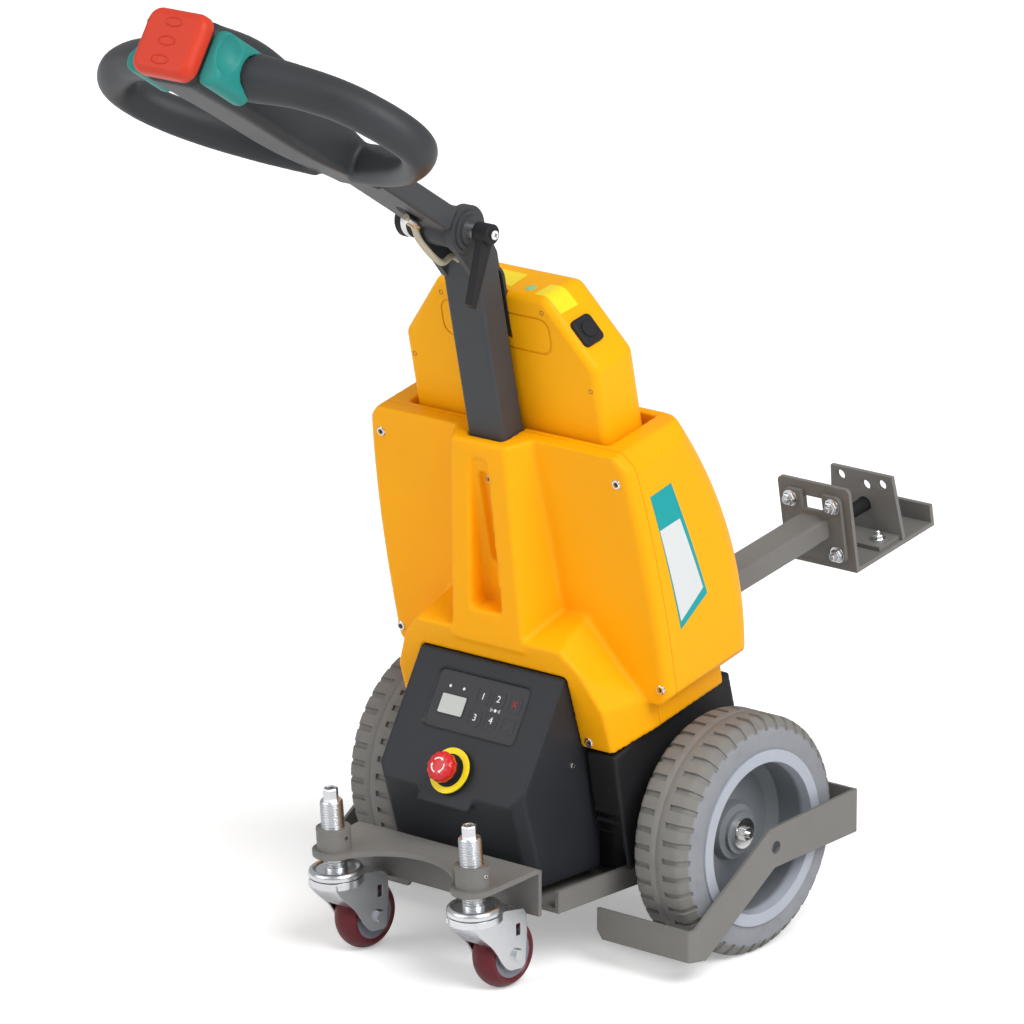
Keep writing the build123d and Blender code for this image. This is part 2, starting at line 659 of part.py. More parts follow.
def grip_sections(side):
    """Round sections along one handle loop, thick at the hand grip and thin on the way back."""
    route = ((34, 424, 1, 24), (58, 414, -1, 22), (98, 396, -4, 18.5), (140, 369, -4, 17.5), (174, 345, 1, 17.5),
             (193, 321, 6, 17), (192, 298, 10, 15.5), (169, 271, 13, 13), (128, 240, 14, 11), (75, 210, 13, 11),
             (30, 191, 12, 11))
    points = [tiller_point(side * x, t, h) for x, t, h, r in route]
    with BuildLine() as line:
        Spline(*points)
    sections = []
    for point, size in zip(points, route):
        u = line.edges()[0].param_at_point(point)
        with BuildSketch(Plane(origin=point, z_dir=line.edges()[0] % u)) as ring:
            Circle(size[3])
        sections.append(ring.sketch)
    return sections


def tiller():
    """The hinged tiller tube, its head, handle loops, belly button and throttles."""
    inner_half = POST_W / 2 - EYE_T - 0.5
    with BuildPart() as tube:
        with BuildSketch(tiller_plane(EYE_R + 4)):
            RectangleRounded(TUBE_W, TUBE_D, 4)
        extrude(amount=HEAD_START + 30 - EYE_R - 4)
        with BuildSketch(Plane(origin=PIVOT, x_dir=(0, 1, 0), z_dir=(1, 0, 0))):
            Circle(22)
        extrude(amount=inner_half, both=True)
        with BuildSketch(tiller_plane(0)):
            Rectangle(2 * inner_half, TUBE_D - 2)
        extrude(amount=40)
        with BuildSketch(Plane(origin=PIVOT, x_dir=(0, 1, 0), z_dir=(1, 0, 0))):
            Circle(PIN_R + RUN_FIT)
        extrude(amount=40, both=True, mode=Mode.SUBTRACT)
    save(tube.part, "tiller_tube")
    with BuildPart() as head:
        loft([head_section(HEAD_START, 62, 16, 17, 5), head_section(215, 66, 21, 24, 8),
              head_section(290, 69, 33, 30, 10), head_section(340, 72, 41, 31, 12),
              head_section(385, 74, 45, 32, 13), head_section(430, 76, 41, 34, 14),
              head_section(HEAD_END - 10, 76, 35, 35, 14)])
        with BuildSketch(tiller_plane(HEAD_END - 11)):
            RectangleRounded(68, 62, 12)
        extrude(amount=11)
        with BuildSketch(tiller_plane(HEAD_START - 1)):
            RectangleRounded(TUBE_W, TUBE_D, 4)
        extrude(amount=31, mode=Mode.SUBTRACT)
    save(head.part, "tiller_head")
    with BuildPart() as button:
        with BuildSketch(tiller_plane(HEAD_END)):
            RectangleRounded(78, 70, 15)
        extrude(amount=BUTTON_END - HEAD_END)
        fillet(button.faces().sort_by(Axis(TILLER.origin, TILLER.z_dir))[-1].edges(), 9)
    save(button.part, "belly_button")
    for s, name in ((1, "right"), (-1, "left")):
        with BuildPart() as grip:
            loft(grip_sections(s))
            add(head.part, mode=Mode.SUBTRACT)
        save(grip.part, f"grip_{name}")
        with BuildPart() as throttle:
            with BuildSketch(tiller_plane(398)):
                with Locations((s * 50, -3)):
                    RectangleRounded(32, 68, 14)
            extrude(amount=78)
            fillet(throttle.faces().sort_by(Axis(TILLER.origin, TILLER.z_dir))[-1].edges(), 8)
            with Locations(tiller_point(s * 82, 470, -8)):
                Sphere(31, mode=Mode.SUBTRACT)
            with BuildSketch(tiller_plane(HEAD_START)):
                with Locations((0, 2)):
                    RectangleRounded(78.6, 100, 14)
            extrude(amount=340, mode=Mode.SUBTRACT)
            add(grip.part, mode=Mode.SUBTRACT)
        save(throttle.part, f"throttle_{name}")


def cable():
    """The short control cable that loops from the tiller tube into the post."""
    start = tiller_point(0, 68, TUBE_D / 2 + CABLE_R + 0.6)
    under = tiller_point(0, 54, TUBE_D / 2 + CABLE_R + 2)
    low = tiller_point(-2, 30, TUBE_D / 2 + 17)
    turn = BODY.from_local_coords(Vector(-2, PIVOT_V - 18, PIVOT_W - 34))
    lip = BODY.from_local_coords(Vector(0, POST_FRONT_V - 4, POST_TOP_W + 7))
    end = BODY.from_local_coords(Vector(0, POST_FRONT_V + POST_D / 2, POST_TOP_W - 20))
    with BuildPart() as cord:
        with BuildLine() as route:
            Spline(start, under, low, turn, lip, end)
        with BuildSketch(Plane(origin=route.line @ 0, z_dir=route.line % 0)):
            Circle(CABLE_R)
        sweep()
    save(cord.part, "tiller_cable")


def coupling():
    """The coupling arm, its flanged bracket, the holed tongue plate and the plunger."""
    with BuildPart() as arm:
        with BuildSketch(arm_plane(-PLATE_T)):
            RectangleRounded(ARM_W, ARM_H, 4)
            RectangleRounded(ARM_W - 2 * ARM_WALL, ARM_H - 2 * ARM_WALL, 1.5, mode=Mode.SUBTRACT)
        extrude(amount=-330)
        with BuildSketch(arm_plane(-0.2)):
            RectangleRounded(80, 80, 8)
            with Locations((0, 30)):
                Rectangle(30, 22, mode=Mode.SUBTRACT)
        extrude(amount=-PLATE_T)
    save(arm.part, "coupling_arm")
    half = PLATE_SIDE / 2
    with BuildPart() as bracket:
        with BuildSketch(arm_plane(0)):
            RectangleRounded(PLATE_SIDE, PLATE_SIDE, 6)
            with Locations((0, 24)):
                Rectangle(30, 18, mode=Mode.SUBTRACT)
        extrude(amount=PLATE_T)
        with BuildSketch(Plane(origin=ARM.from_local_coords(Vector(0, -half, 0)), x_dir=ARM.x_dir, z_dir=ARM.y_dir)):
            with Locations((0, -COUPLING_LENGTH / 2)):
                Rectangle(PLATE_SIDE, COUPLING_LENGTH)
        extrude(amount=PLATE_T)
        with BuildSketch(arm_plane(COUPLING_LENGTH)):
            with Locations((0, -half + LIP_H / 2)):
                Rectangle(PLATE_SIDE, LIP_H)
        extrude(amount=-PLATE_T)
    save(bracket.part, "coupling_bracket")
    with BuildPart() as tongue:
        with BuildSketch(arm_plane(TONGUE_U)):
            with BuildLine():
                Polyline((-50, -half + PLATE_T), (50, -half + PLATE_T), (43, 30), (-43, 30), close=True)
            make_face()
            with Locations((-28, 18), (-5, 14), (30, 20)):
                Circle(HOLE_R, mode=Mode.SUBTRACT)
            with Locations((0, -10)):
                Circle(9, mode=Mode.SUBTRACT)
        extrude(amount=PLATE_T)
        foot = Plane(origin=ARM.from_local_coords(Vector(0, -half + PLATE_T, 0)), x_dir=ARM.x_dir, z_dir=ARM.y_dir)
        with BuildSketch(foot):
            with Locations((0, -(TONGUE_U - 18))):
                Rectangle(90, 36)
        extrude(amount=PLATE_T)
    save(tongue.part, "coupling_tongue")
    with BuildPart() as plunger:
        with BuildSketch(arm_plane(30)):
            with Locations((0, -10)):
                Circle(14)
        extrude(amount=14)
        with BuildSketch(arm_plane(44)):
            with Locations((0, -10)):
                Circle(8)
        extrude(amount=56)
    save(plunger.part, "coupling_plunger")


def guards():
    """The bent flat bar that guards the front, outside and back of each wheel."""
    outer = 256.0
    for s, name in ((1, "right"), (-1, "left")):
        side = Plane(origin=(s * (outer - GUARD_T), AXLE_Y, 0), x_dir=(0, 1, 0), z_dir=(1, 0, 0))
        with BuildPart() as guard:
            with BuildSketch(side):
                with BuildLine():
                    Polyline((-140, 30), (-112, 26), (2, 100), (141, 106), (141, 154), (-6, 144), (-128, 64),
                             (-140, 64), close=True)
                make_face()
            extrude(amount=s * GUARD_T)
            with BuildSketch(Plane(origin=(s * outer, AXLE_Y - 140, 0), x_dir=(-s, 0, 0), z_dir=(0, s, 0))):
                with BuildLine():
                    Polyline((0, 30), (119, 30), (126, 40), (126, 64), (0, 64), close=True)
                make_face()
            extrude(amount=s * GUARD_T)
            with BuildSketch(Plane(origin=(s * (outer - 50), AXLE_Y + 137, 130), x_dir=(1, 0, 0), z_dir=(0, 1, 0))):
                Rectangle(100, 48)
            extrude(amount=GUARD_T)
            bends = guard.edges().filter_by(Axis.Z).filter_by(lambda e: abs(e.center().X) > outer - 1)
            fillet(bends.group_by(Axis.Y)[0], 3)
            with BuildSketch(side):
                with Locations((4, 122)):
                    Circle(7)
            extrude(amount=20, both=True, mode=Mode.SUBTRACT)
        save(guard.part, f"wheel_guard_{name}")


def main():
    os.makedirs("parts", exist_ok=True)
    wheels()
    drive_unit()
    chassis_frame()
    castors(castor_bracket())
    lower_housing()
    shells()
    console()
    battery()
    post()
    clamp()
    tiller()
    cable()
    coupling()
    guards()


main()
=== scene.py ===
"""Looks of a walk-behind electric tow tug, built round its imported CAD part, in metres."""

import json
from math import cos, pi, radians, sin

import bmesh
import bpy
from mathutils import Matrix, Vector
from mathutils.bvhtree import BVHTree


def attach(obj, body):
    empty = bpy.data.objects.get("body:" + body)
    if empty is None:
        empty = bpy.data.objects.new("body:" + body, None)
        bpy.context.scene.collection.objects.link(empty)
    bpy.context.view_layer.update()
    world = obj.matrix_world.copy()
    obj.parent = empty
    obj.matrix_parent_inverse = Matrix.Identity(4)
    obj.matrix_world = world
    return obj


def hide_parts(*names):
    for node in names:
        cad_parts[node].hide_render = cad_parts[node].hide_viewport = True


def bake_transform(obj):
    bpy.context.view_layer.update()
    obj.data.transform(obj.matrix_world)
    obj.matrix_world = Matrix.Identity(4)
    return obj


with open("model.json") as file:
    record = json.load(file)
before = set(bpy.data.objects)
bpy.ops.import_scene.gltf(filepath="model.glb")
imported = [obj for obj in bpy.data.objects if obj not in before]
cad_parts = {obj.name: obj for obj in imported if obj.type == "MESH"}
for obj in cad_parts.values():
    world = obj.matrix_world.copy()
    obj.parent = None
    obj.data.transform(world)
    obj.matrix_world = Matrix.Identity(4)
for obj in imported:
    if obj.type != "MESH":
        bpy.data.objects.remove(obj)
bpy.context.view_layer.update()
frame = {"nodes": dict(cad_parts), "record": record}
nodes = frame["nodes"]
mm = 0.001


def joint(name):
    """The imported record's entry for one joint."""
    return next(j for j in frame["record"]["behaviour"]["joints"] if j["name"] == name)


def body_of(node):
    """The body that carries a CAD node."""
    held_by = frame["record"]["behaviour"]["bodies"]
    return next(body for body, held in held_by.items() if node in held)


axle = Vector(joint("wheel_spin_right")["pos_m"])
axle.x = 0
pivot = Vector(joint("tiller_tilt")["pos_m"])
castor_axle = Vector(joint("castor_spin_right")["pos_m"])
SIDES = ((1, "right"), (-1, "left"))


# Local frames. BODY has x across, y toward the coupling and z up along the leaning shell. FRONT looks at the shell from
# the operator, with z out of it. FACE lies on the console's sloping face, TILLER on the tiller with z along it, UNDER
# below the tiller and ARM on the coupling arm's end. PIN and PIN_FAR run out along the clamp bolt, and SIDE_RIGHT looks
# at the shell's right side.

def local(origin, x_dir, z_dir):
    """A matrix that places millimetre coordinates of one local frame in the scene."""
    z = Vector(z_dir).normalized()
    x = Vector(x_dir).normalized()
    y = z.cross(x)
    turn = Matrix((x, y, z)).transposed().to_4x4()
    return Matrix.Translation(origin) @ turn @ Matrix.Scale(mm, 4)


lean = radians(12.5)         # the shell, back from upright
rise = radians(32.2)         # the tiller, above level
pitch = radians(10.5)        # the coupling arm, above level
castor_lean = radians(5.2)   # the castor stems, back from upright
BODY = local(axle, (1, 0, 0), (0, -sin(lean), cos(lean)))
FRONT = local(axle, (1, 0, 0), (0, -cos(lean), -sin(lean)))
FACE = local(axle + Vector((0, -0.160, 0.184)), (1, 0, 0), (0, -0.867, 0.498))
TILLER = local(pivot, (1, 0, 0), (0, -cos(rise), sin(rise)))
UNDER = local(pivot, (1, 0, 0), (0, -sin(rise), -cos(rise)))
ARM = local(axle + Vector((0, 0.390, 0.217)), (-1, 0, 0), (0, cos(pitch), sin(pitch)))
PIN = local(pivot, (0, 1, 0), (1, 0, 0))
PIN_FAR = local(pivot, (0, 1, 0), (-1, 0, 0))
SIDE_RIGHT = local(axle, (0, cos(lean), sin(lean)), (1, 0, 0))


# Materials

def shade(name, colour, rough=0.45, metal=0.0, vary=0.06, grain=900.0, bump=0.02, coat=0.0, soft=0.0012,
          dust=0.0, gleam=0.25):
    """A surface with uneven colour, uneven gloss, a fine grain and slightly rounded edges."""
    m = bpy.data.materials.new(name)
    m.use_nodes = True
    t = m.node_tree
    n = t.nodes
    shader = n["Principled BSDF"]
    shader.inputs["Metallic"].default_value = metal
    shader.inputs["Specular IOR Level"].default_value = 0.5 if metal else gleam
    if coat:
        shader.inputs["Coat Weight"].default_value = coat
        shader.inputs["Coat Roughness"].default_value = 0.12
    where = n.new("ShaderNodeTexCoord")
    cloud = n.new("ShaderNodeTexNoise")
    cloud.inputs["Scale"].default_value = 9.0
    cloud.inputs["Detail"].default_value = 6.0
    t.links.new(where.outputs["Object"], cloud.inputs["Vector"])
    ramp = n.new("ShaderNodeValToRGB")
    dark = [max(0.0, c * (1 - vary)) for c in colour]
    light = [min(1.0, c * (1 + vary)) for c in colour]
    ramp.color_ramp.elements[0].position = 0.3
    ramp.color_ramp.elements[0].color = (*dark, 1)
    ramp.color_ramp.elements[1].position = 0.7
    ramp.color_ramp.elements[1].color = (*light, 1)
    t.links.new(cloud.outputs["Fac"], ramp.inputs["Fac"])
    colour_out = ramp.outputs["Color"]
    fine = n.new("ShaderNodeTexNoise")
    fine.inputs["Scale"].default_value = grain
    fine.inputs["Detail"].default_value = 3.0
    t.links.new(where.outputs["Object"], fine.inputs["Vector"])
    if dust:
        spots = n.new("ShaderNodeTexNoise")
        spots.inputs["Scale"].default_value = 60.0
        spots.inputs["Detail"].default_value = 8.0
        t.links.new(where.outputs["Object"], spots.inputs["Vector"])
        edge = n.new("ShaderNodeMapRange")
        edge.inputs["From Min"].default_value = 0.5
        edge.inputs["From Max"].default_value = 0.75
        edge.inputs["To Max"].default_value = dust
        t.links.new(spots.outputs["Fac"], edge.inputs["Value"])
        mix = n.new("ShaderNodeMix")
        mix.data_type = "RGBA"
        t.links.new(edge.outputs["Result"], mix.inputs["Factor"])
        t.links.new(colour_out, mix.inputs["A"])
        mix.inputs["B"].default_value = (0.42, 0.38, 0.32, 1)
        colour_out = mix.outputs["Result"]
    t.links.new(colour_out, shader.inputs["Base Color"])
    gloss = n.new("ShaderNodeMapRange")
    gloss.inputs["To Min"].default_value = max(0.03, rough - 0.08)
    gloss.inputs["To Max"].default_value = min(1.0, rough + 0.08)
    t.links.new(cloud.outputs["Fac"], gloss.inputs["Value"])
    t.links.new(gloss.outputs["Result"], shader.inputs["Roughness"])
    height = n.new("ShaderNodeBump")
    height.inputs["Strength"].default_value = bump * 10
    height.inputs["Distance"].default_value = 0.0002
    t.links.new(fine.outputs["Fac"], height.inputs["Height"])
    if soft:
        edges = n.new("ShaderNodeBevel")
        edges.samples = 4
        edges.inputs["Radius"].default_value = soft
        t.links.new(edges.outputs["Normal"], height.inputs["Normal"])
    t.links.new(height.outputs["Normal"], shader.inputs["Normal"])
    return m


def two_tone(m, share, first, second):
    """Multiplies a material's own colour by the first tint, or by the second where share is 1."""
    t = m.node_tree
    n = t.nodes
    shader = n["Principled BSDF"]
    old = shader.inputs["Base Color"].links[0].from_socket
    tint = n.new("ShaderNodeMix")
    tint.data_type = "RGBA"
    tint.inputs["A"].default_value = (*first, 1)
    tint.inputs["B"].default_value = (*second, 1)
    t.links.new(share, tint.inputs["Factor"])
    both = n.new("ShaderNodeMix")
    both.data_type = "RGBA"
    both.blend_type = "MULTIPLY"
    both.inputs["Factor"].default_value = 1.0
    t.links.new(tint.outputs["Result"], both.inputs["A"])
    t.links.new(old, both.inputs["B"])
    t.links.new(both.outputs["Result"], shader.inputs["Base Color"])


def step_between(m, value, low, high):
    """A share that goes from 0 to 1 as value passes from low to high, in metres."""
    edge = m.node_tree.nodes.new("ShaderNodeMapRange")
    edge.inputs["From Min"].default_value = low
    edge.inputs["From Max"].default_value = high
    m.node_tree.links.new(value, edge.inputs["Value"])
    return edge.outputs["Result"]


def split_by_radius(m, centre, radius, inner, outer):
    """Colours a wheel by the distance from its axle: inner colour inside the radius, outer outside."""
    t = m.node_tree
    n = t.nodes
    where = n.new("ShaderNodeTexCoord")
    away = n.new("ShaderNodeVectorMath")
    away.operation = "SUBTRACT"
    away.inputs[1].default_value = centre
    t.links.new(where.outputs["Object"], away.inputs[0])
    flat = n.new("ShaderNodeVectorMath")
    flat.operation = "MULTIPLY"
    flat.inputs[1].default_value = (0, 1, 1)
    t.links.new(away.outputs["Vector"], flat.inputs[0])
    size = n.new("ShaderNodeVectorMath")
    size.operation = "LENGTH"
    t.links.new(flat.outputs["Vector"], size.inputs[0])
    two_tone(m, step_between(m, size.outputs["Value"], radius - 0.0004, radius + 0.0004), inner, outer)


def split_tyre(m, middle, half_crown, crown, wall):
    """Colours a tyre by the distance from its middle plane: a dusty crown and cleaner side walls."""
    t = m.node_tree
    n = t.nodes
    where = n.new("ShaderNodeTexCoord")
    parts = n.new("ShaderNodeSeparateXYZ")
    t.links.new(where.outputs["Object"], parts.inputs["Vector"])
    out = parts.outputs["X"]
    for operation, value in (("ABSOLUTE", 0), ("SUBTRACT", middle), ("ABSOLUTE", 0)):
        step = n.new("ShaderNodeMath")
        step.operation = operation
        step.inputs[1].default_value = value
        t.links.new(out, step.inputs[0])
        out = step.outputs["Value"]
    two_tone(m, step_between(m, out, half_crown - 0.0008, half_crown + 0.0008), crown, wall)


YELLOW = shade("shell_yellow", (0.97, 0.415, 0.002), rough=0.46, vary=0.02, grain=1400, bump=0.02, soft=0, gleam=0.14)
PACK = shade("battery_yellow", (0.97, 0.43, 0.002), rough=0.42, vary=0.02, grain=1400, bump=0.02, soft=0.0015,
             gleam=0.14)
CONSOLE = shade("console_grey", (0.024, 0.026, 0.031), rough=0.45, vary=0.10, grain=1600, bump=0.05, soft=0.0025)
BLACK = shade("housing_black", (0.016, 0.016, 0.018), rough=0.55, vary=0.12, grain=1300, bump=0.05, soft=0.002)
STEEL_PAINT = shade("frame_paint", (0.185, 0.178, 0.168), rough=0.42, vary=0.07, grain=700, bump=0.08, soft=0.001)
POST_PAINT = shade("post_paint", (0.052, 0.055, 0.060), rough=0.40, vary=0.08, grain=700, bump=0.07, soft=0.0015)
HEAD = shade("head_plastic", (0.040, 0.043, 0.047), rough=0.42, vary=0.10, grain=1500, bump=0.05, soft=0.002)
RUBBER = shade("tyre_rubber", (1.0, 1.0, 1.0), rough=0.72, vary=0.10, grain=500, bump=0.10, soft=0.0006, dust=0.18)
RIM = shade("rim_paint", (1.0, 1.0, 1.0), rough=0.36, vary=0.05, grain=900, bump=0.03, soft=0.0008, coat=0.1)
ZINC = shade("zinc_plate", (0.74, 0.76, 0.79), rough=0.26, metal=1.0, vary=0.10, grain=350, bump=0.04, soft=0.0008)
BRIGHT = shade("bright_steel", (0.78, 0.78, 0.77), rough=0.20, metal=1.0, vary=0.08, grain=800, bump=0.03, soft=0.0004)
TREAD = shade("castor_polyurethane", (1.0, 1.0, 1.0), rough=0.33, vary=0.08, grain=600, bump=0.04, soft=0.0006)
GRIP = shade("grip_rubber", (0.030, 0.032, 0.035), rough=0.50, vary=0.12, grain=1900, bump=0.08, soft=0.001)
RED = shade("button_red", (0.62, 0.045, 0.018), rough=0.40, vary=0.05, grain=1300, bump=0.03, soft=0.002)
STOP_RED = shade("stop_red", (0.60, 0.018, 0.020), rough=0.30, vary=0.05, grain=1000, bump=0.02, coat=0.3, soft=0.001)
STOP_YELLOW = shade("stop_yellow", (0.93, 0.72, 0.015), rough=0.38, vary=0.04, grain=1100, bump=0.02, soft=0.0006)
TEAL = shade("throttle_teal", (0.020, 0.240, 0.215), rough=0.42, vary=0.06, grain=1300, bump=0.04, soft=0.002)
KEYPAD = shade("keypad_film", (0.030, 0.031, 0.036), rough=0.35, vary=0.10, grain=1800, bump=0.03, soft=0.0005)
CABLE = shade("cable_sheath", (0.50, 0.45, 0.34), rough=0.40, vary=0.08, grain=900, bump=0.04, soft=0.0003)
IRON = shade("drive_iron", (0.060, 0.060, 0.062), rough=0.60, vary=0.15, grain=300, bump=0.15, soft=0.001)
INK = shade("print_white", (0.80, 0.81, 0.82), rough=0.5, vary=0.03, grain=1500, bump=0.01, soft=0)
SCREEN = shade("display_glass", (0.46, 0.48, 0.46), rough=0.18, vary=0.05, grain=300, bump=0.005, soft=0)
WARN = shade("print_red", (0.35, 0.02, 0.02), rough=0.5, vary=0.05, grain=1500, bump=0.01, soft=0)
LABEL_TEAL = shade("label_teal", (0.005, 0.33, 0.34), rough=0.40, vary=0.03, grain=900, bump=0.01, soft=0)
LABEL_GREY = shade("label_grey", (0.66, 0.68, 0.69), rough=0.40, vary=0.03, grain=900, bump=0.01, soft=0)
LABEL_YELLOW = shade("label_yellow", (0.95, 0.72, 0.02), rough=0.35, vary=0.03, grain=900, bump=0.01, soft=0)
LABEL_GREEN = shade("label_green", (0.30, 0.62, 0.30), rough=0.40, vary=0.03, grain=900, bump=0.01, soft=0)
# Near-black of the plunger and the stop's collar, also used as painted shade in screw sockets, on the clamp screw's
# cross and in the cable's opening.
DARK_AND_HOLE_SHADE = shade("dark_part_and_hole_shade", (0.012, 0.012, 0.013), rough=0.6, vary=0.2, grain=900, bump=0.02, soft=0)
COPPER = shade("screw_brown", (0.32, 0.10, 0.03), rough=0.45, metal=0.4, vary=0.1, grain=900, bump=0.02, soft=0)

KEY_EDGE = shade("key_edge", (0.060, 0.062, 0.068), rough=0.4, vary=0.1, grain=1600, bump=0.02, soft=0)
PRINT_GREY = shade("print_grey", (0.30, 0.31, 0.32), rough=0.5, vary=0.05, grain=1500, bump=0.01, soft=0)

TYRE_MIDDLE = 200.5          # millimetres from the part's middle plane
split_by_radius(RIM, (0, axle.y, axle.z), 0.0805, (0.20, 0.215, 0.235), (0.40, 0.43, 0.49))
split_by_radius(TREAD, (0, castor_axle.y, castor_axle.z), 0.0265, (0.22, 0.225, 0.27), (0.115, 0.014, 0.020))
split_tyre(RUBBER, TYRE_MIDDLE * mm, 0.036, (0.215, 0.208, 0.196), (0.275, 0.285, 0.310))

LOOKS = {
    "axle_shaft": BRIGHT, "battery_pack": PACK, "battery_handle": HEAD, "belly_button": RED,
    "castor_bracket": STEEL_PAINT, "castor_fork": ZINC, "castor_stem": ZINC, "castor_wheel": TREAD,
    "charge_port_cover": BLACK, "chassis_frame": STEEL_PAINT, "clamp_bolt": BRIGHT, "clamp_lever": BLACK,
    "control_console": CONSOLE, "coupling_arm": STEEL_PAINT, "coupling_bracket": STEEL_PAINT,
    "coupling_plunger": DARK_AND_HOLE_SHADE, "coupling_tongue": STEEL_PAINT, "drive_unit": IRON,
    "emergency_stop_base": STOP_YELLOW, "emergency_stop_button": STOP_RED, "front_shell": YELLOW,
    "grip": GRIP, "keypad_panel": KEYPAD, "lower_housing": BLACK, "rear_shell": YELLOW, "rim": RIM,
    "throttle": TEAL, "tiller_cable": CABLE, "tiller_head": HEAD, "tiller_post": POST_PAINT,
    "tiller_tube": POST_PAINT, "tyre": RUBBER, "wheel_guard": STEEL_PAINT,
}
for name, thing in nodes.items():
    thing.data.materials.clear()
    thing.data.materials.append(LOOKS[name.removesuffix("_left").removesuffix("_right")])


# Pieces

def piece(name, mesh, material, body, matrix=None):
    """Adds one piece that moves with a body of the part."""
    if matrix is not None:
        mesh.transform(matrix)
    mesh.materials.clear()
    mesh.materials.append(material)
    obj = bpy.data.objects.new(name, mesh)
    bpy.context.scene.collection.objects.link(obj)
    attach(obj, body)
    return obj


def from_bmesh(name, bm, crease=32):
    """Turns a bmesh into a mesh with smooth faces and creases above an angle, or with flat faces if crease is None."""
    bmesh.ops.recalc_face_normals(bm, faces=bm.faces)
    mesh = bpy.data.meshes.new(name)
    bm.to_mesh(mesh)
    bm.free()
    if crease is not None:
        mesh.shade_smooth()
        mesh.set_sharp_from_angle(angle=radians(crease))
    return mesh


def join_rings(bm, pairs):
    """Faces between rings of points, for each pair of neighbouring rings."""
    for a, b in pairs:
        for i in range(len(a)):
            j = (i + 1) % len(a)
            bm.faces.new((a[i], a[j], b[j], b[i]))


def circle(r, steps, cx=0.0, cy=0.0):
    """The points of a circle."""
    return [(cx + r * cos(2 * pi * i / steps), cy + r * sin(2 * pi * i / steps)) for i in range(steps)]


def curve_point(p0, p1, p2, p3, u):
    """The point a share u of the way from p1 to p2, on a smooth curve through four points."""
    return 0.5 * (2 * p1 + (p2 - p0) * u + (2 * p0 - 5 * p1 + 4 * p2 - p3) * u * u
                  + (3 * p1 - p0 - 3 * p2 + p3) * u ** 3)


def neighbours(items, i):
    """Four items in a row from the one before place i, held at both ends of the list."""
    return [items[max(0, min(len(items) - 1, i + k))] for k in (-1, 0, 1, 2)]


def turned(name, profile, steps=48):
    """A solid of revolution about local z, from (radius, height) pairs in millimetres."""
    bm = bmesh.new()
    rings = []
    for r, h in profile:
        rings.append([bm.verts.new((x, y, h)) for x, y in circle(r, steps)])
    join_rings(bm, zip(rings, rings[1:]))
    bm.faces.new(rings[0])
    bm.faces.new(rings[-1])
    return from_bmesh(name, bm)


def slab(name, outline, low, high):
    """A flat plate from an outline in local x and y, between two heights, in millimetres."""
    bm = bmesh.new()
    a = [bm.verts.new((x, y, low)) for x, y in outline]
    b = [bm.verts.new((x, y, high)) for x, y in outline]
    bm.faces.new(a)
    bm.faces.new(b)
    join_rings(bm, [(a, b)])
    return from_bmesh(name, bm, crease=None)


def rounded(width, height, r, cx=0.0, cy=0.0, steps=6):
    """The outline of a rectangle with round corners."""
    out = []
    for sx, sy, start in ((1, 1, 0), (-1, 1, 90), (-1, -1, 180), (1, -1, 270)):
        for i in range(steps + 1):
            a = radians(start + 90 * i / steps)
            out.append((cx + sx * (width / 2 - r) + r * cos(a), cy + sy * (height / 2 - r) + r * sin(a)))
    return out


def at(base, x, y, z):
    """A local frame moved to a point given in its own millimetres."""
    return base @ Matrix.Translation((x, y, z))


def socket_screw(name, base, x, y, z, body, r=5.6):
    """A round screw head whose hexagonal socket is a dark hexagon of painted shade."""
    head = turned(name, [(r, -2.0), (r, 0.6), (r * 0.86, 1.5), (r * 0.55, 1.5), (r * 0.55, -0.2)], 28)
    piece(name, head, BRIGHT, body, at(base, x, y, z))
    # the dark hexagon in the recess is painted shade for the socket's depth
    piece(name + "_socket", slab(name + "_socket", circle(r * 0.5, 6), -0.2, 0.1), DARK_AND_HOLE_SHADE, body,
          at(base, x, y, z))


def hex_bolt(name, base, x, y, z, body, r, h, washer):
    """A hexagon bolt head on a washer."""
    piece(name + "_washer", turned(name + "_washer", [(washer, 0), (washer, 1.6), (washer - 0.8, 2.0)], 32), ZINC,
          body, at(base, x, y, z))
    head = turned(name, [(r, 2.0), (r, h - 1.0), (r - 1.4, h)], 6)
    piece(name, head, ZINC, body, at(base, x, y, z))
    piece(name + "_tip", turned(name + "_tip", [(r * 0.5, h), (r * 0.5, h + 3.5), (r * 0.38, h + 4.5)], 20), ZINC,
          body, at(base, x, y, z))


# Tyres with their tread blocks

HALF_TREAD = ((0, 129.2), (1.2, 129.9), (8.4, 129.9), (9.0, 129.9), (24, 129.9), (27.5, 128.9), (30, 127),
              (32.4, 123.8), (35.4, 119.6), (37.4, 116.4), (38, 113), (38, 104))   # distance from the middle, radius
TYRE_ROWS = ([(-38, 84), (-38, 92)] + [(-x, r) for x, r in HALF_TREAD[:0:-1]] + list(HALF_TREAD)
             + [(38, 98.5), (38, 92), (38, 84)])
PITCHES = 42                                # tread blocks round one row
STATIONS = (0.0, 0.33, 0.36, 0.64, 0.67)    # shares of a pitch; the groove's floor is between the third and fourth
GROOVE_DEPTH = 3.0


